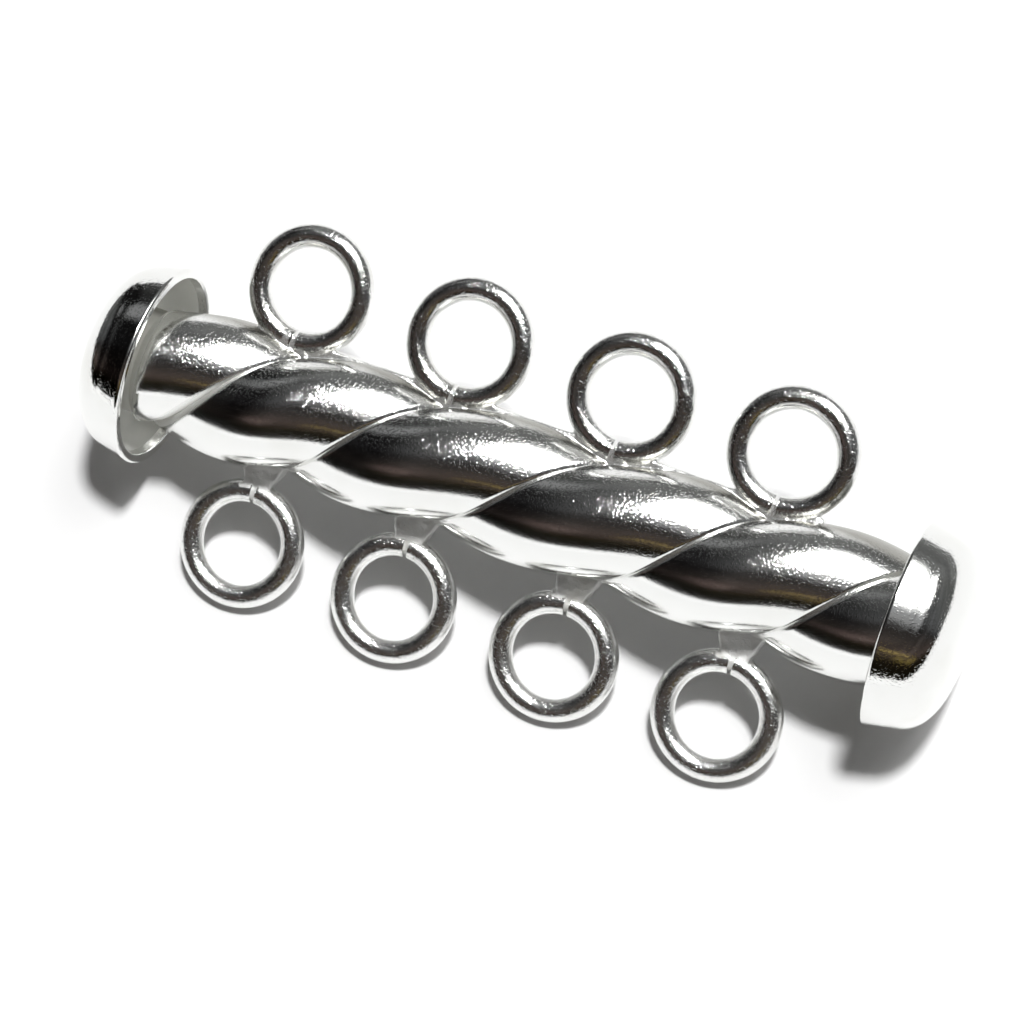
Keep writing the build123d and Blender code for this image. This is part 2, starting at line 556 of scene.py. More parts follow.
def cut_slot(recipe, tube, start, end, crest, slot):
    """Cuts the slot that the feet run in out of the tube, from end to end."""
    size = recipe.vector((end - start) + 2 * MM, crest * 2.0, slot)
    bar = recipe.node("GeometryNodeMeshCube", Size=size).outputs[0]
    middle = recipe.vector((start + end) / 2.0, -crest, 0.0)
    placed = recipe.node("GeometryNodeTransform", Geometry=bar, Translation=middle).outputs[0]
    cut = recipe.node("GeometryNodeMeshBoolean", {"operation": "DIFFERENCE", "solver": "EXACT"})
    recipe.feed(cut.inputs[0], tube)
    recipe.feed(cut.inputs[1], placed)
    return cut.outputs[0]


def fluted_tube_piece(material):
    """Rolls a sheet into twisted flutes, closes it on itself and cuts the slot."""
    sizes = settings().flutes
    recipe = Recipe("Fluted tube")
    start = recipe.take("Open end", OUTER_START)
    end = recipe.take("Far end", OUTER_END)
    shoulder = recipe.take("Nose shoulder", INNER_MOUTH + sizes.nose_shoulder)
    crest, bulge, valley, crease, wall = recipe.take_sizes(
        sizes, "crest_radius", "bulge_radius", "valley_radius", "crease_width", "wall"
    )
    turn_length, crest_turn, taper, slot, waviness, open_crease = recipe.take_sizes(
        sizes, "turn_length", "crest_turn", "nose_taper", "slot_width", "waviness", "open_crease"
    )
    grid = recipe.node(
        "GeometryNodeMeshGrid",
        Size_X=1.0,
        Size_Y=1.0,
        Vertices_X=recipe.take("Columns", TUBE_COLUMNS),
        Vertices_Y=recipe.take("Rows", TUBE_ROWS),
    ).outputs[0]
    turned, place, reached, inside = sheet_layout(recipe)
    body_reach = (end - start - NOSE_REACH) / (1.0 - NOSE_ROWS)
    slow = reached * (NOSE_REACH / NOSE_ROWS)
    x = slow.most((reached - NOSE_ROWS) * body_reach + NOSE_REACH) + start
    # Towards the open end the crease opens out and was never polished
    opening = x.share(open_crease, start)
    crease_width = crease * (opening * CREASE_WIDENING + 1.0)
    profile, depth = flute_radius(turned, crest, bulge, valley, crease_width)
    cone = valley + (x - shoulder + taper).most(0.0) * ((crest - valley) / taper)
    round_tube = recipe.vector(x, place.cos() * crest, place.sin() * crest)
    rough = (recipe.noise(round_tube, scale=260.0, detail=1.0) - 0.5) * 2.0 * waviness
    radius = (profile + rough * (1.0 - inside)).least(cone) - wall * inside
    stand = crest_angle(recipe, x, turn_length, crest_turn) + place
    spot = recipe.vector(x, stand.cos() * radius, stand.sin() * radius)
    # These are stored while the points still lie on the flat sheet
    nose = ((shoulder - x) / taper).held()
    matt = ((depth * 1.3).least(1.0) * (opening * 2.0 + 0.1).least(1.0)).most(nose)
    from_back = stand.wrap(math.pi, -math.pi)
    sheet = recipe.keep("matt", grid, matt)
    # The darker band along the back: heat-stained silver beside the soldered strip, and painted
    # shade for the dark things behind the clasp that its back would mirror
    stain = from_back.size().share(*STAIN_ANGLES) * (1.0 - inside)
    sheet = recipe.keep("stain", sheet, stain)
    sheet = recipe.keep("rubbed", sheet, from_back.share(*RUBBED_ANGLES))
    rolled = recipe.moved(sheet, Position=spot)
    closed = recipe.node(
        "GeometryNodeMergeByDistance", Geometry=rolled, Distance=CLOSED_WITHIN
    ).outputs[0]
    cut = cut_slot(recipe, closed, start, end, crest, slot)
    piece = recipe.finish("fluted_tube", cut, material, "outer")
    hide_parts("outer_tube")


def skin(name, loops, material, body, closed_ends=True):
    """Joins a row of closed loops of points into one closed mesh piece."""
    shell = bmesh.new()
    rows = [[shell.verts.new(point) for point in loop] for loop in loops]
    for row, after in zip(rows, rows[1:]):
        for i in range(max(len(row), len(after))):
            near = (row[i % len(row)], row[(i + 1) % len(row)])
            far = (after[(i + 1) % len(after)], after[i % len(after)])
            corners = list(dict.fromkeys(near + far))
            if len(corners) > 2:
                shell.faces.new(corners)
    if closed_ends:
        shell.faces.new(rows[0])
        shell.faces.new(rows[-1])
    bmesh.ops.recalc_face_normals(shell, faces=shell.faces)
    for face in shell.faces:
        face.smooth = True
    for edge in shell.edges:
        edge.smooth = len(edge.link_faces) != 2 or edge.calc_face_angle() < CRISP_EDGE
    mesh = bpy.data.meshes.new(name)
    shell.to_mesh(mesh)
    shell.free()
    mesh.materials.append(material)
    piece = new_piece(name, mesh)
    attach(piece, body)
    return piece


# Steps round and along the sliding tube, and how full its wall is at both ends, which rounds them
SLIDER_STEPS = 96
SLIDER_SPANS = 60
END_FULLNESS = 0.7


def open_arc(radius, first):
    """Radius and angle of points round a circle, from one side of a gap to the other."""
    step = (FULL_TURN - 2 * first) / SLIDER_STEPS
    return [(radius, first + step * i) for i in range(SLIDER_STEPS + 1)]


def seamed_section(sizes):
    """Radius and angle round the open inner tube, its outside first, then back along its inside."""
    outside, inside = sizes.radius, sizes.radius - sizes.wall
    nib = sizes.edge_round
    half_seam = sizes.seam / 2
    outer_first = math.asin(half_seam / outside)
    inner_first = math.asin(half_seam / inside)
    return [
        *open_arc(outside, outer_first + nib / outside),
        (outside - nib, FULL_TURN - outer_first),
        (inside + nib, FULL_TURN - inner_first),
        *reversed(open_arc(inside, inner_first + nib / inside)),
        (inside + nib, inner_first),
        (outside - nib, outer_first),
    ]


def sliding_tube_piece(material):
    """The plain inner tube, open along a seam at its back."""
    sizes = settings().slider
    nib = sizes.edge_round
    middle = sizes.radius - sizes.wall / 2
    section = seamed_section(sizes)
    span = (INNER_END - INNER_START) / SLIDER_SPANS
    stations = [(INNER_START, END_FULLNESS), (INNER_START + nib, 1.0)]
    stations += [(INNER_START + span * i, 1.0) for i in range(1, SLIDER_SPANS)]
    stations += [(INNER_END - nib, 1.0), (INNER_END, END_FULLNESS)]
    placed = lying()
    loops = []
    for x, fullness in stations:
        loop = []
        for radius, a in section:
            r = middle + (radius - middle) * fullness
            loop.append(placed @ Vector((x, r * math.cos(a), r * math.sin(a))))
        loops.append(loop)
    piece = skin("sliding_tube", loops, material, "inner")
    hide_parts("inner_tube")


RING_STEPS = 150
WIRE_SIDES = 36


def ring_shift(recipe, place, shifts):
    """The given shift of a ring by its place in the row, counted from nought."""
    total = place * 0.0
    for i, distance in enumerate(shifts):
        shift = recipe.take(f"Shift of ring {i + 1}", distance)
        total = total + place.equals(float(i), 0.4) * shift
    return total


def ring_row_piece(name, reach, body, material, seed):
    """Bends one row of wire rings, each a little uneven, with its joint towards the tube."""
    sizes = settings().rings
    at_back = reach > 0
    recipe = Recipe(name.replace("_", " ").capitalize())
    count, pitch, shift, ring_radius, wire_radius, joint, stray = recipe.take_sizes(
        sizes, "count", "pitch", "row_shift", "ring_radius", "wire_radius", "joint", "unevenness"
    )
    far = recipe.take("Reach", reach)
    row = recipe.node(
        "GeometryNodeMeshLine",
        Count=count,
        Start_Location=recipe.vector(shift - pitch * (count - 1.0) / 2.0, far, 0.0),
        Offset=recipe.vector(pitch, 0.0, 0.0),
    ).outputs[0]
    order = recipe.value("GeometryNodeInputIndex")
    shifts = sizes.back_shifts if at_back else sizes.front_shifts
    row = recipe.moved(row, Offset=recipe.vector(ring_shift(recipe, order, shifts), 0.0, 0.0))
    # Each ring is an open circle whose gap faces the tube
    gap = joint / ring_radius
    facing_tube = -math.pi / 2 if at_back else math.pi / 2
    bend = recipe.node(
        "GeometryNodeCurveArc",
        {"mode": "RADIUS"},
        Resolution=RING_STEPS,
        Radius=ring_radius,
        Start_Angle=gap / 2.0 + facing_tube,
        Sweep_Angle=FULL_TURN - gap,
    ).outputs[0]
    placed = recipe.node("GeometryNodeInstanceOnPoints", Points=row, Instance=bend).outputs[0]
    rings = recipe.node("GeometryNodeRealizeInstances", Geometry=placed).outputs[0]
    noise = recipe.node(
        "ShaderNodeTexNoise",
        {"noise_dimensions": "4D"},
        W=recipe.take("Seed", seed),
        Scale=330.0,
        Detail=0.0,
    )
    along, outward, aside = (part - 0.5 for part in recipe.parts(noise.outputs["Color"]))
    offset = recipe.vector(along * stray * 3.0, outward * stray * 3.0, aside * stray * 0.8)
    bent = recipe.moved(rings, Offset=offset)
    # The lines on the drawn wire follow its length and the way round it
    wire = recipe.node(
        "GeometryNodeCurvePrimitiveCircle",
        {"mode": "RADIUS"},
        Resolution=WIRE_SIDES,
        Radius=wire_radius,
    ).outputs[0]
    spline = recipe.node("GeometryNodeSplineParameter").outputs
    bent = recipe.keep("along", bent, spline["Length"])
    step = Value(recipe.tree, spline["Factor"])
    swept = recipe.node(
        "GeometryNodeCurveToMesh",
        Curve=bent,
        Profile_Curve=recipe.keep("around", wire, (step * FULL_TURN).cos()),
        Fill_Caps=True,
    ).outputs[0]
    piece = recipe.finish(name, swept, material, body)
    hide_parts("outer_tube" if at_back else "inner_tube")


# What differs between the solder of the two rows: how lumpy it is, how deep the groove between a
# wire's ends is, how far the feet reach under the tube's surface, how much of that is kept free
# again, and how far the box that is filled reaches under the surface and to each side
SolderRow = namedtuple("SolderRow", "lumps groove root freed box_root half_box")
BACK_SOLDER = SolderRow(
    lumps=0.07 * MM,
    groove=0.22 * MM,
    root=0.12 * MM,
    freed=0.03 * MM,
    box_root=0.12 * MM,
    half_box=0.62 * MM,
)
FRONT_SOLDER = SolderRow(
    lumps=0.22 * MM,
    groove=0.14 * MM,
    root=0.15 * MM,
    freed=-0.05 * MM,
    box_root=0.20 * MM,
    half_box=0.40 * MM,
)
SOLDER_ROUNDING = 0.09 * MM
UNDER_METAL = 0.012 * MM
UNDER_FLUTES = 0.02 * MM

# How wide the groove spreads, as a share of the wire's joint, how far into the wire a foot
# reaches, as a share of its radius, and how hollow the sides of its wedge are
GROOVE_SHARE = 0.9
FOOT_IN_WIRE = 0.45
WEDGE_HOLLOW = 0.8

# How far a front foot's solder creeps out over the sliding tube, and how far it may run
FRONT_ROOT_FILLET = 0.08 * MM
FRONT_RUN = 0.85 * MM

# Room in the filled box past the strip's ends and above the feet, and in cells of its mesh, what
# stays free along its sides and over how much the solder's surface is blended
BOX_END_ROOM = 0.25 * MM
BOX_TOP_ROOM = 0.30 * MM
FREE_CELLS = 2.5
BLENDED_CELLS = 6.0


def rounded_block(*past_sides):
    """Distance to a block with rounded edges, from how far a point is past each pair of sides."""
    a, b, c = ((past + SOLDER_ROUNDING).most(0.0) for past in past_sides)
    return (a * a + b * b + c * c).root() - SOLDER_ROUNDING


def past_between(value, low, high):
    """How far a number is outside two ends, less than nought between them."""
    return (value - (high + low) / 2.0).size() - (high - low) / 2.0


def flute_surface(recipe, x, y, z):
    """Distance to the fluted tube, and the radius of its crests."""
    crest, bulge, valley, crease, turn_length, crest_turn = recipe.take_sizes(
        settings().flutes,
        "crest_radius",
        "bulge_radius",
        "valley_radius",
        "crease_width",
        "turn_length",
        "crest_turn",
    )
    stand = crest_angle(recipe, x, turn_length, crest_turn)
    turned = (z.turn(y) - stand + math.pi / 2).wrap(math.pi, 0.0) - math.pi / 2
    profile, _ = flute_radius(turned, crest, bulge, valley, crease)
    return (y * y + z * z).root() - profile + UNDER_FLUTES, crest


def solder_row_piece(name, reach, body, material, seed):
    """Melts a row of feet onto the tube and up the wire of their rings, with fillets all round."""
    rings, sizes = settings().rings, settings().solder
    at_back = reach > 0
    row = BACK_SOLDER if at_back else FRONT_SOLDER
    tube_radius = settings().flutes.valley_radius if at_back else settings().slider.radius
    side = 1.0 if at_back else -1.0
    recipe = Recipe(name.replace("_", " ").capitalize())
    pitch, shift, ring_radius, wire_radius, joint = recipe.take_sizes(
        rings, "pitch", "row_shift", "ring_radius", "wire_radius", "joint"
    )
    foot_neck, thickness, fillet = recipe.take_sizes(
        sizes, "foot_neck", "foot_thickness", "fillet"
    )
    far = recipe.take("Reach", abs(reach))
    spread = 0.0 if at_back else sizes.front_spread
    foot_length = recipe.take("Foot length", sizes.foot_length + spread)
    base = recipe.take("Base radius", tube_radius - row.root)
    chance = recipe.take("Seed", seed)
    x, y, z = recipe.position()
    out = y * side
    around = (y * y + z * z).root()
    # Distance to the nearest ring's middle, along the tube
    half_row = (rings.count - 1) / 2
    along_row = (x - shift) / pitch + half_row + 0.5
    past_ring = along_row.wrap(1.0, 0.0)
    shifts = rings.back_shifts if at_back else rings.front_shifts
    near = (past_ring - 0.5) * pitch - ring_shift(recipe, along_row - past_ring, shifts)
    # The wire's ends show in a groove, which the solder only half fills
    groove = (1.0 - near.size() / (joint * GROOVE_SHARE)).most(0.0)
    to_wire = (near * near + (out - far) * (out - far)).root() - ring_radius
    wire = (to_wire * to_wire + z * z).root() - wire_radius + UNDER_METAL + groove * row.groove
    # A foot is a wedge that narrows towards the wire
    top = far - ring_radius + wire_radius * FOOT_IN_WIRE
    climb = out.share(base, top) ** WEDGE_HOLLOW
    wedge_half = foot_length / 2.0 + (foot_neck - foot_length) / 2.0 * climb
    foot = rounded_block(
        near.size() - wedge_half, z.size() - thickness / 2.0, past_between(out, base, top)
    )
    if at_back:
        tube, crest = flute_surface(recipe, x, y, z)
        overrun, rise, strip_width = recipe.take_sizes(
            sizes, "strip_overrun", "strip_rise", "strip_width"
        )
        strip = rounded_block(
            (x - shift).size() - (pitch * half_row + overrun),
            z.size() - strip_width / 2.0,
            past_between(out, base, crest + rise),
        )
        bare = foot.least(strip)
        melted = foot.melt(strip, fillet * 0.6).melt(tube, fillet * 0.8).melt(wire, fillet)
    else:
        tube = around - recipe.take("Slider radius", tube_radius) + UNDER_METAL
        bare = foot
        melted = foot.melt(tube, FRONT_ROOT_FILLET).melt(wire, fillet * 0.6)
    tube_inside = (base + row.freed) - around
    noise = recipe.value(
        "ShaderNodeTexNoise", {"noise_dimensions": "4D"}, W=chance, Scale=1500.0, Detail=2.0
    )
    solid = (melted + (noise - 0.5) * row.lumps).most(tube_inside).most(bare - fillet)
    # Nothing reaches the sides of the box that is filled, so the mesh comes out closed
    cell = sizes.grain
    margin = FREE_CELLS * cell
    middle = rings.row_shift
    half_length = rings.pitch * half_row + sizes.strip_overrun + BOX_END_ROOM
    low = tube_radius - row.box_root
    high = abs(reach) - rings.ring_radius + rings.wire_radius + BOX_TOP_ROOM
    ends = (x - middle).size() - (half_length - margin) if at_back else near.size() - FRONT_RUN
    solid = solid.most(ends).most(z.size() - (row.half_box - margin))
    solid = solid.most(out - (high - margin)).most((low + margin) - out)
    lows = (middle - half_length, min(side * low, side * high), -row.half_box)
    highs = (middle + half_length, max(side * low, side * high), row.half_box)
    box = recipe.node(
        "GeometryNodeVolumeCube",
        Density=(0.5 - solid / (BLENDED_CELLS * cell)).held(),
        Min=lows,
        Max=highs,
    )
    for axis, start, end in zip("XYZ", lows, highs):
        box.inputs[f"Resolution {axis}"].default_value = round((end - start) / cell)
    skinned = recipe.node(
        "GeometryNodeVolumeToMesh",
        {"resolution_mode": "GRID"},
        Volume=box.outputs[0],
        Threshold=0.5,
        Adaptivity=0.0,
    ).outputs[0]
    piece = recipe.finish(name, skinned, material, body)
    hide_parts("outer_tube" if at_back else "inner_tube")


# Steps round the caps, and along each stretch of their outline
CAP_SIDES = 160
DOME_STEPS = 48
INNER_DOME_STEPS = 36
FLARE_STEPS = 8
ROLL_STEPS = 10
NIB_STEPS = 8

# A power of one would narrow the mouth's flare quite evenly
FLARE_POWER = 1.2

# The rounding of the plug's end, the straight start that holds it in the dome, and how near its
# end may come to the mouth
PLUG_ROUNDING = 0.06 * MM
PLUG_START = 0.10 * MM
PLUG_MOUTH_ROOM = 0.05 * MM

# Points nearer to the axis than this lie on it
AT_AXIS = 1e-7

# Where the matt finish may lie: room for a face's own size past the mouth's radius and past the
# plug's, and how squarely a bright face looks along the axis
MATT_ROOM = 0.02 * MM
PLUG_ROOM = 0.01 * MM
SQUARE = 0.999


def dome_points(crown, barrel, end_radius, steps):
    """Points of a dome, fuller than an ellipse, from its barrel in to a smaller radius."""
    sizes = settings().caps
    last = math.acos((end_radius / barrel) ** (sizes.fullness / 2))
    power = 2 / sizes.fullness
    points = []
    for i in range(steps + 1):
        a = last * i / steps
        depth = sizes.lip + crown * math.sin(a) ** power
        points.append((depth, barrel * max(0.0, math.cos(a)) ** power))
    return points


def flared(points, start):
    """Widens points of a cap by the mouth's flare, which runs out almost evenly into the dome."""
    sizes = settings().caps
    widened = []
    for depth, radius in points:
        share = max(0.0, (sizes.flare - depth) / (sizes.flare - start))
        flare = (CAP_RADIUS - sizes.barrel) * share**FLARE_POWER
        widened.append((depth, max(radius, 0.0) + flare))
    return widened


def straight_lip(radius, start, end):
    """Points of a lip of one radius between two depths, without its ends."""
    steps = range(1, FLARE_STEPS)
    return [(start + (end - start) * i / FLARE_STEPS, radius) for i in steps]


def quarter_turn(steps):
    """Angles of a quarter of a turn, from its start to its end."""
    return [math.pi / 2 * i / steps for i in range(steps + 1)]


def cap_outline(plug_radius):
    """Depth past the mouth and radius of half a cap, from its crown out and in to its plug."""
    sizes = settings().caps
    roll, nib, wall = sizes.rolled_rim, sizes.rim_round, sizes.wall
    mouth_inside = CAP_RADIUS - wall
    barrel_inside = sizes.barrel - wall
    crown = CAP_HEIGHT - sizes.lip
    dome = list(reversed(dome_points(crown, sizes.barrel, 0.0, DOME_STEPS)))
    outline = flared(dome + straight_lip(sizes.barrel, sizes.lip, roll), roll)
    for a in quarter_turn(ROLL_STEPS):
        outline.append((roll - roll * math.sin(a), CAP_RADIUS - roll + roll * math.cos(a)))
    for a in quarter_turn(NIB_STEPS):
        outline.append((nib - nib * math.cos(a), mouth_inside + nib - nib * math.sin(a)))
    inner_dome = dome_points(crown - wall, barrel_inside, plug_radius, INNER_DOME_STEPS)
    outline += flared(straight_lip(barrel_inside, nib, sizes.lip) + inner_dome, nib)
    tube_end = inner_dome[-1][0]
    plug_end = max(tube_end - sizes.plug_depth, PLUG_MOUTH_ROOM)
    outline.append((tube_end - PLUG_START, plug_radius))
    outline.append((plug_end + PLUG_ROUNDING, plug_radius))
    outline.append((plug_end, plug_radius - PLUG_ROUNDING))
    outline.append((plug_end, 0.0))
    return outline


def leave_matt(cap, mouth, outward, plug_radius):
    """Gives the inside of a cap its second, unpolished finish, past the bright lip."""
    sizes = settings().caps
    open_radius = CAP_RADIUS - sizes.wall + MATT_ROOM
    for face in cap.data.polygons:
        depth = (face.center.x - mouth) * outward
        y, z = face.center.y - AXIS_Y, face.center.z - AXIS_Z
        from_axis = math.hypot(y, z)
        facing_in = face.normal.y * y + face.normal.z * z < 0
        within = from_axis < open_radius and abs(face.normal.x) < SQUARE
        hidden = facing_in or depth < CAP_HEIGHT - 2 * sizes.wall
        if depth > sizes.bright_lip and within and hidden:
            matt = facing_in or from_axis < plug_radius + PLUG_ROOM
            face.material_index = 1 if matt else 0


def cap_piece(name, node, body, mouth, outward, plug_radius, finishes):
    """Turns one domed cap, with its flared and rounded mouth and the plug inside it."""
    around = [FULL_TURN * k / CAP_SIDES for k in range(CAP_SIDES)]
    loops = []
    for depth, r in cap_outline(plug_radius):
        x = mouth + outward * depth
        # A single point closes the cap on its axis
        turns = around if r > AT_AXIS else [0.0]
        places = [(AXIS_Y + r * math.cos(a), AXIS_Z + r * math.sin(a)) for a in turns]
        loops.append([Vector((x, y, z)) for y, z in places])
    piece = skin(name, loops, finishes[0], body, closed_ends=False)
    piece.data.materials.append(finishes[1])
    leave_matt(piece, mouth, outward, plug_radius)
    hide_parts(node)


class Shader(Tree):
    """The node tree of a material or a world."""

    def __init__(self, owner):
        owner.use_nodes = True
        owner.node_tree.nodes.clear()
        super().__init__(owner.node_tree)
        self.owner = owner

    def place(self):
        """The place on the piece that the patterns follow."""
        return self.node("ShaderNodeTexCoord").outputs["Object"]

    def stored(self, name):
        """A number that was stored on the mesh."""
        outputs = self.node("ShaderNodeAttribute", {"attribute_name": name}).outputs
        return Value(self.tree, outputs["Fac"])

    def blend(self, share, first, second):
        """One colour turning into another with a share."""
        mix = self.node("ShaderNodeMix", {"data_type": "RGBA"})
        self.feed(mix.inputs["Factor"], share)
        for slot, tint in zip((mix.inputs[6], mix.inputs[7]), (first, second)):
            self.feed(slot, tint if isinstance(tint, bpy.types.NodeSocket) else (*tint, 1.0))
        return mix.outputs[2]

    def joined(self, operation, one, other):
        """Two colours worked together part by part."""
        made = self.node("ShaderNodeVectorMath", {"operation": operation})
        self.feed(made.inputs[0], one)
        self.feed(made.inputs[1], other)
        return made.outputs[0]

    def tinted(self, tint, strength):
        """A colour times a number."""
        made = self.node("ShaderNodeVectorMath", {"operation": "SCALE"}, Scale=strength)
        self.feed(made.inputs[0], tint)
        return made.outputs[0]

    def ramp(self, factor, stops):
        """Stops are places and the numbers or colours there."""
        made = self.node("ShaderNodeValToRGB")
        self.feed(made.inputs[0], factor)
        elements = made.color_ramp.elements
        while len(elements) < len(stops):
            elements.new(0.5)
        for element, (position, value) in zip(elements, stops):
            element.position = position
            tint = (value, value, value) if isinstance(value, float) else value
            element.color = (*tint, 1.0)
        return made.outputs[0]

    def step(self, factor, start, end):
        """Nought up to the start, then rising evenly to one at the end."""
        return Value(self.tree, self.ramp(factor, ((start, 0.0), (end, 1.0))))

    def oval(self, way, centre, reach, stray, fade):
        """A soft oval in the room, placed by degrees to the right and back of overhead."""
        right, back, up = way
        across = (right.turn(up) - math.radians(centre[0])) / math.radians(reach[0])
        along = (back.turn(up) - math.radians(centre[1])) / math.radians(reach[1])
        far = (across * across + along * along).root() + stray
        fading = self.node("ShaderNodeMapRange", {"interpolation_type": "SMOOTHSTEP"}, Value=far)
        fading.inputs["From Min"].default_value = fade[0]
        fading.inputs["From Max"].default_value = fade[1]
        return Value(self.tree, fading.outputs[0])

    def surface(self, **looks):
        """Ends the tree with a surface of these looks and returns the material."""
        surface = self.node("ShaderNodeBsdfPrincipled", **looks)
        self.node("ShaderNodeOutputMaterial", Surface=surface.outputs[0])
        return self.owner


def drawn_lines(s):
    """Fine lines along the wire, as a draw plate leaves them."""
    along, around = s.stored("along"), s.stored("around")
    return s.noise(s.vector(along * 1500.0, around * 26.0, 0.0), scale=1.0, detail=3.0)


def rolled_lines(s, place):
    """Fine lines along the clasp, as rolling and buffing leave them."""
    stretched = s.node("ShaderNodeMapping", Vector=place, Scale=(500.0, 9000.0, 9000.0))
    return s.noise(stretched.outputs[0], scale=1.0, detail=2.0)


def silver_material(name, dulled, grain, tarnish, worn=False, drawn=False, metal=1.0):
    """Polished silver with a fine speckled grain, uneven polish and a little tarnish."""
    finish = settings().finish
    s = Shader(bpy.data.materials.new(name))
    place = s.place()
    cloud = s.noise(place, scale=700.0, detail=3.0)
    fine = s.noise(place, scale=15000.0, detail=2.0)
    grit = s.noise(place, scale=23000.0, detail=1.0)
    lines = drawn_lines(s) if drawn else rolled_lines(s, place)
    share = s.step(cloud, 0.46, 0.72) * tarnish
    polish = finish.polish + dulled + (cloud - 0.5) * 0.08 + (lines - 0.5) * 0.06
    if worn:
        matt = s.stored("matt")
        share = share + matt * 0.3
        polish = polish + matt * 0.40
        metal = 1.0 - matt * 0.30
        grain = (1.0 - s.stored("rubbed") * 0.8) * grain
    shade = s.blend(share.held(), finish.silver, finish.tarnish)
    specks = s.step(fine, 0.54, 0.66)
    height = (specks * 0.75 + grit * 0.6) * grain + lines * (0.9 if drawn else 0.1)
    bump = s.node("ShaderNodeBump", Height=height, Strength=1.0, Distance=0.0028 * MM)
    if worn:
        # Heat-stained silver along the soldered back, with painted shade: the darker colour also
        # stands in for dark things behind the clasp that its back would mirror
        heat = s.stored("stain")
        heat = (heat * 1.4 + (cloud - 0.5) * 1.2 * heat).held()
        shade = s.blend(heat, shade, finish.stain)
        polish = polish + heat * 0.12
    return s.surface(
        Base_Color=shade, Metallic=metal, Roughness=polish.most(0.03), Normal=bump.outputs[0]
    )


def matt_silver(name):
    """Silver left white and matt by the pickle, where no polishing wheel reaches."""
    white = settings().finish.matt
    s = Shader(bpy.data.materials.new(name))
    place = s.place()
    cloud = s.noise(place, scale=900.0, detail=4.0)
    grit = s.noise(place, scale=16000.0, detail=2.0)
    bump = s.node("ShaderNodeBump", Height=cloud + grit * 0.5, Strength=1.0, Distance=0.004 * MM)
    return s.surface(
        Base_Color=s.blend(cloud.held(), white, [part * 0.9 for part in white]),
        Metallic=0.25,
        Roughness=0.42 + (cloud - 0.5) * 0.3,
        Normal=bump.outputs[0],
    )


def floor_material():
    """A pale matt floor with the faintest unevenness."""
    pale = settings().finish.floor
    s = Shader(bpy.data.materials.new("Pale floor"))
    cloud = s.noise(s.place(), scale=12.0, detail=2.0)
    return s.surface(
        Base_Color=s.blend(cloud, [part * 0.995 for part in pale], pale), Roughness=0.9
    )


# From the front of the room, over the top, to its back
ROOM_TONES = (
    (0.130, (0.006, 0.005, 0.003)),
    (0.165, (0.018, 0.014, 0.008)),
    (0.220, (0.066, 0.050, 0.044)),
    (0.310, (0.040, 0.034, 0.031)),
    (0.400, (0.024, 0.023, 0.023)),
    (0.470, (0.065, 0.066, 0.068)),
    (0.700, (0.100, 0.102, 0.102)),
    (0.850, (0.125, 0.127, 0.125)),
)

# Darker and brighter levels, as shelves along the walls would give
SHELF_TONES = ((0.38, 0.75), (0.50, 0.95), (0.64, 1.35))

# From the left of the room to its right
DOORWAY_TONES = ((0.07, 0.8), (0.11, 0.08), (0.16, 0.05), (0.22, 0.4), (0.32, 1.0))

# A soft light or patch that the silver mirrors: its tint, its middle and reach in degrees to the
# right and back of overhead, how much its edge strays, and the shares of its reach at which it
# starts to show and is full
Patch = namedtuple("Patch", "tint centre reach stray fade", defaults=(0.9, (1.25, 0.45)))
ROOM_PATCHES = (
    Patch((0.170, 0.125, 0.020), (24.0, -51.0), (17.0, 2.2)),
    Patch((0.110, 0.082, 0.016), (46.0, -57.0), (16.0, 4.0)),
    Patch((0.040, 0.028, 0.026), (-34.0, -49.0), (16.0, 8.0)),
    Patch((0.200, 0.202, 0.204), (-48.0, 42.0), (9.0, 15.0)),
    Patch((0.220, 0.222, 0.226), (20.0, -6.0), (11.0, 16.0)),
)
GLOW = Patch((0.30, 0.304, 0.312), (15.0, 24.0), (32.0, 30.0), 0.3, (1.0, 0.0))
SOFT_LIGHT = Patch((1.0, 1.0, 1.0), (17.0, 28.0), (13.0, 22.0), 0.05, (1.60, 0.45))


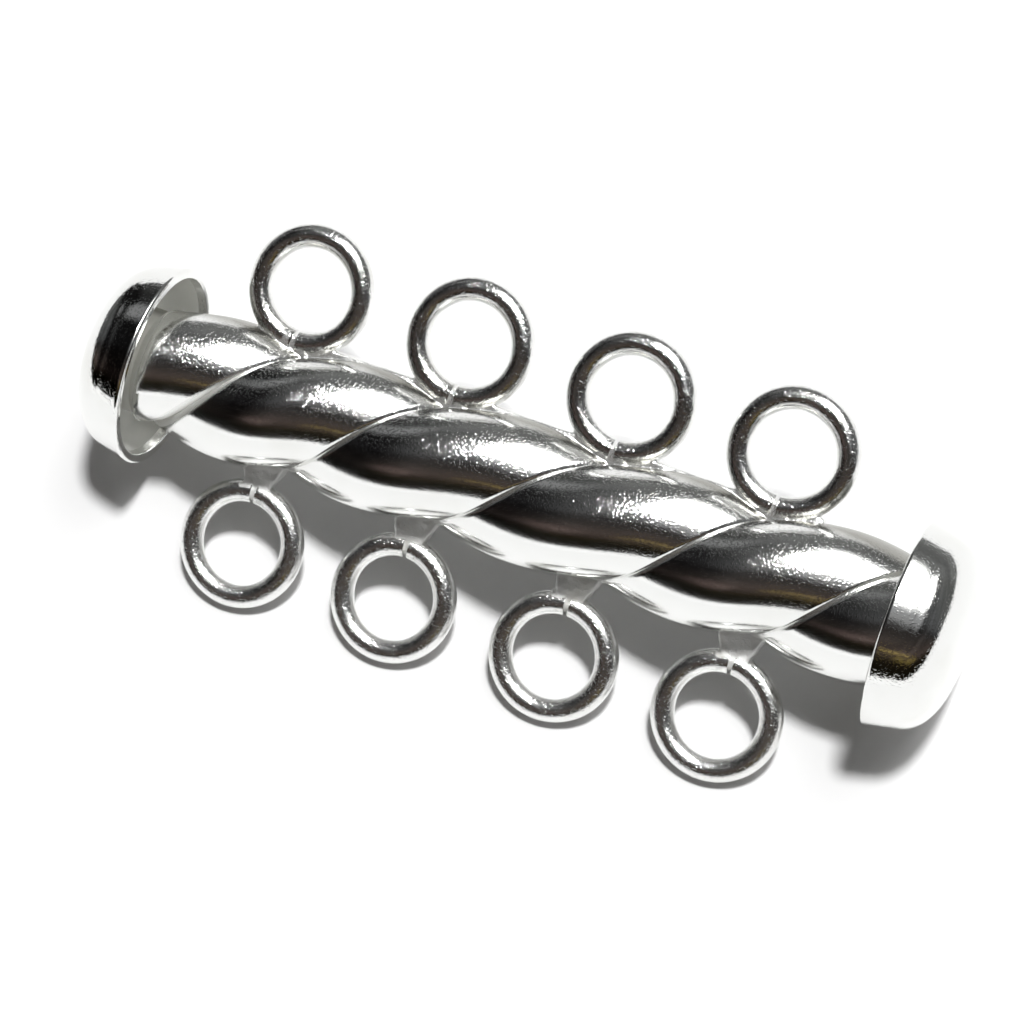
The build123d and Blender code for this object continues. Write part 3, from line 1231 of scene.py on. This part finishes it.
def dim_room():
    """The dim room that the silver mirrors, with one large soft light above and behind."""
    studio = settings().studio
    world = bpy.data.worlds.new("Dim room")
    bpy.context.scene.world = world
    s = Shader(world)
    facing = s.node("ShaderNodeTexCoord").outputs["Generated"]
    right, back, up = way = s.parts(facing)
    cloud = s.noise(facing, scale=3.6, detail=3.0) - 0.5
    level = s.node("ShaderNodeMapping", Vector=facing, Scale=(1.6, 1.6, 9.0)).outputs[0]
    tone = s.ramp(back.turn(up) / math.pi + 0.5 + cloud * 0.05, ROOM_TONES)
    shelves = s.ramp(s.noise(level, scale=1.0, detail=2.0), SHELF_TONES)
    tone = s.joined("MULTIPLY", tone, shelves)
    doorway = s.ramp(right * 0.5 + 0.5 + cloud * 0.03, DOORWAY_TONES)
    tone = s.joined("MULTIPLY", tone, doorway)

    def oval(patch):
        """How much of a patch shows in each direction."""
        return s.oval(way, patch.centre, patch.reach, cloud * patch.stray, patch.fade)

    for patch in ROOM_PATCHES:
        tone = s.joined("ADD", tone, s.tinted(patch.tint, oval(patch)))
    tone = s.joined("ADD", tone, s.tinted(GLOW.tint, oval(GLOW) ** 2.0))
    path = s.node("ShaderNodeLightPath").outputs
    # Most of the soft light is left out of what lights the floor
    shown = 1.0 - Value(s.tree, path["Is Diffuse Ray"]) * 0.75
    lamp = oval(SOFT_LIGHT) ** 1.5 * shown * studio.lamp
    tone = s.joined("ADD", tone, s.tinted(SOFT_LIGHT.tint, lamp))
    room = s.node("ShaderNodeBackground", Color=tone, Strength=studio.room)
    backdrop = s.node("ShaderNodeBackground", Color=(0.93, 0.93, 0.93, 1.0), Strength=1.0)
    both = s.node("ShaderNodeMixShader")
    s.feed(both.inputs[0], path["Is Camera Ray"])
    s.feed(both.inputs[1], room.outputs[0])
    s.feed(both.inputs[2], backdrop.outputs[0])
    s.node("ShaderNodeOutputWorld", Surface=both.outputs[0])


# The floor is flat in the middle and rises at its edge, most of all straight in front
FLOOR_RADIUS = 0.62
FLOOR_FLAT_RADIUS = 0.42
FLOOR_RISE = 0.085
RISE_WIDTH = 0.3
FLOOR_STEPS = 40
FLOOR_SIDES = 128


def floor_place(share, a):
    """A point of the floor by its share of the radius and its angle."""
    r = FLOOR_RADIUS * share
    past = max(0.0, (r - FLOOR_FLAT_RADIUS) / (FLOOR_RADIUS - FLOOR_FLAT_RADIUS))
    forward = max(0.0, RISE_WIDTH - math.sin(a)) / (1 + RISE_WIDTH)
    return r * math.cos(a), r * math.sin(a), FLOOR_RISE * past * past * forward**0.5


def add_floor():
    """A pale round floor whose edge towards the viewer curves up, as a studio sweep does."""
    shell = bmesh.new()
    rows = []
    for i in range(1, FLOOR_STEPS + 1):
        turns = [FULL_TURN * k / FLOOR_SIDES for k in range(FLOOR_SIDES)]
        rows.append([shell.verts.new(floor_place(i / FLOOR_STEPS, a)) for a in turns])
    middle = shell.verts.new((0, 0, 0))
    for k in range(FLOOR_SIDES):
        after = (k + 1) % FLOOR_SIDES
        shell.faces.new((middle, rows[0][k], rows[0][after]))
        for row, wider in zip(rows, rows[1:]):
            shell.faces.new((row[k], wider[k], wider[after], row[after]))
    for face in shell.faces:
        face.smooth = True
    mesh = bpy.data.meshes.new("floor")
    shell.to_mesh(mesh)
    shell.free()
    mesh.materials.append(floor_material())
    floor = new_piece("floor", mesh)


KEY_DIRECTION = Vector((0.12, 0.24, 1.0)).normalized()
KEY_DISTANCE = 0.5


def add_key_light():
    """The main light, high above and a little behind."""
    studio = settings().studio
    lamp = bpy.data.lights.new("key", "SUN")
    lamp.energy = studio.key_strength
    lamp.angle = studio.key_size
    holder = new_piece("key", lamp)
    holder.location = KEY_DIRECTION * KEY_DISTANCE
    holder.rotation_mode = "QUATERNION"
    holder.rotation_quaternion = KEY_DIRECTION.to_track_quat("Z", "Y")


# Fitted to both cap mouths and all eight rings of the photograph
CAMERA_EYE = Vector((23.95, -29.89, 91.28)) * MM
CAMERA_TARGET = Vector((-0.1, -0.25, 2.6)) * MM
CAMERA_ROLL = math.radians(-17.30)
CAMERA_SEES = (0.005, 5.0)


def add_camera():
    """The camera, looking down at the clasp and rolled to the photograph's slant."""
    lens = bpy.data.cameras.new("camera")
    lens.lens = settings().studio.lens
    lens.clip_start, lens.clip_end = CAMERA_SEES
    camera = new_piece("camera", lens)
    bpy.context.scene.camera = camera
    back = (CAMERA_EYE - CAMERA_TARGET).normalized()
    level = Vector((0, 0, 1)).cross(back).normalized()
    upright = back.cross(level)
    right = math.cos(CAMERA_ROLL) * level + math.sin(CAMERA_ROLL) * upright
    up = -math.sin(CAMERA_ROLL) * level + math.cos(CAMERA_ROLL) * upright
    turn = Matrix((right, up, back)).transposed()
    camera.matrix_world = Matrix.Translation(CAMERA_EYE) @ turn.to_4x4()


def add_studio():
    """The floor, the dim room, the main light and the camera."""
    add_floor()
    dim_room()
    add_key_light()
    add_camera()
    view = bpy.context.scene.view_settings
    view.view_transform = "Standard"
    view.look = "None"


class CLASP_OT_fluted_tube(bpy.types.Operator):
    """Build the twisted outer tube with its slot"""

    bl_idname = "clasp.fluted_tube"
    bl_label = "Fluted tube"
    bl_options = {"REGISTER", "UNDO"}

    def execute(self, context):
        fluted_tube_piece(
            silver_material("Fluted silver", dulled=0.07, grain=1.15, tarnish=0.15, worn=True)
        )
        return {"FINISHED"}


class CLASP_OT_sliding_tube(bpy.types.Operator):
    """Build the plain inner tube"""

    bl_idname = "clasp.sliding_tube"
    bl_label = "Sliding tube"
    bl_options = {"REGISTER", "UNDO"}

    def execute(self, context):
        sliding_tube_piece(silver_material("Drawn silver", dulled=0.08, grain=0.5, tarnish=0.3))
        return {"FINISHED"}


class CLASP_OT_rings(bpy.types.Operator):
    """Bend both rows of wire rings"""

    bl_idname = "clasp.rings"
    bl_label = "Strand rings"
    bl_options = {"REGISTER", "UNDO"}

    def execute(self, context):
        rings = settings().rings
        bright = silver_material("Wire silver", dulled=0.10, grain=1.6, tarnish=0.35, drawn=True)
        ring_row_piece("back_rings", rings.back_reach, "outer", bright, seed=3)
        softer = silver_material(
            "Softer wire silver", dulled=0.15, grain=1.8, tarnish=0.2, drawn=True
        )
        ring_row_piece("front_rings", -rings.front_reach, "inner", softer, seed=11)
        return {"FINISHED"}


class CLASP_OT_solder(bpy.types.Operator):
    """Melt the feet and the strip that carry the rings"""

    bl_idname = "clasp.solder"
    bl_label = "Soldered feet"
    bl_options = {"REGISTER", "UNDO"}

    def execute(self, context):
        rings = settings().rings
        flowed = silver_material("Flowed solder", dulled=0.20, grain=1.3, tarnish=0.1, metal=0.85)
        solder_row_piece("back_solder", rings.back_reach, "outer", flowed, seed=5)
        dull = silver_material("Dull solder", dulled=0.64, grain=2.5, tarnish=0.4, metal=0.9)
        solder_row_piece("front_feet", -rings.front_reach, "inner", dull, seed=8)
        return {"FINISHED"}


class CLASP_OT_caps(bpy.types.Operator):
    """Turn the two domed end caps"""

    bl_idname = "clasp.caps"
    bl_label = "End caps"
    bl_options = {"REGISTER", "UNDO"}

    def execute(self, context):
        caps = settings().caps
        finishes = (
            silver_material("Cap silver", dulled=0.0, grain=0.55, tarnish=0.2),
            matt_silver("Matt silver inside the caps"),
        )
        for name, node, body, mouth, outward, plug in (
            ("outer_cap", "outer_end_cap", "outer", OUTER_MOUTH, 1.0, caps.outer_plug),
            ("inner_cap", "inner_end_cap", "inner", INNER_MOUTH, -1.0, caps.inner_plug),
        ):
            cap_piece(name, node, body, mouth, outward, plug, finishes)
        return {"FINISHED"}


class CLASP_OT_studio(bpy.types.Operator):
    """Set up the floor, light and camera"""

    bl_idname = "clasp.studio"
    bl_label = "Studio"
    bl_options = {"REGISTER", "UNDO"}

    def execute(self, context):
        add_studio()
        return {"FINISHED"}


class CLASP_PT_panel(bpy.types.Panel):
    """Lists the clasp's pieces and settings in the sidebar"""

    bl_idname = "CLASP_PT_panel"
    bl_label = "Slide clasp"
    bl_space_type = "VIEW_3D"
    bl_region_type = "UI"
    bl_category = "Clasp"

    def draw(self, context):
        for operator, *groups in PIECES:
            column = self.layout.column(align=True)
            column.operator(operator.bl_idname)
            for group in groups:
                sizes = getattr(context.scene.clasp, group)
                for name in sizes.__annotations__:
                    column.prop(sizes, name)


# Each operator, and the groups of settings that it reads
PIECES = (
    (CLASP_OT_studio, "studio", "finish"),
    (CLASP_OT_fluted_tube, "flutes"),
    (CLASP_OT_sliding_tube, "slider"),
    (CLASP_OT_rings, "rings"),
    (CLASP_OT_solder, "solder"),
    (CLASP_OT_caps, "caps"),
)
SETTING_GROUPS = (
    FluteSizes,
    SliderSizes,
    RingSizes,
    SolderSizes,
    CapSizes,
    FinishColours,
    StudioSettings,
    ClaspSettings,
)


def register():
    """Registers the settings, the operators and the panel."""
    for group in SETTING_GROUPS:
        bpy.utils.register_class(group)
    bpy.types.Scene.clasp = bpy.props.PointerProperty(type=ClaspSettings)
    for operator, *_ in PIECES:
        bpy.utils.register_class(operator)
    bpy.utils.register_class(CLASP_PT_panel)


def unregister():
    """Takes away what register added."""
    bpy.utils.unregister_class(CLASP_PT_panel)
    for operator, *_ in reversed(PIECES):
        bpy.utils.unregister_class(operator)
    del bpy.types.Scene.clasp
    for group in reversed(SETTING_GROUPS):
        bpy.utils.unregister_class(group)


def main():
    """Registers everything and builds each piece."""
    register()
    bpy.ops.clasp.studio()
    bpy.ops.clasp.fluted_tube()
    bpy.ops.clasp.sliding_tube()
    bpy.ops.clasp.rings()
    bpy.ops.clasp.solder()
    bpy.ops.clasp.caps()


if __name__ == "__main__":
    main()
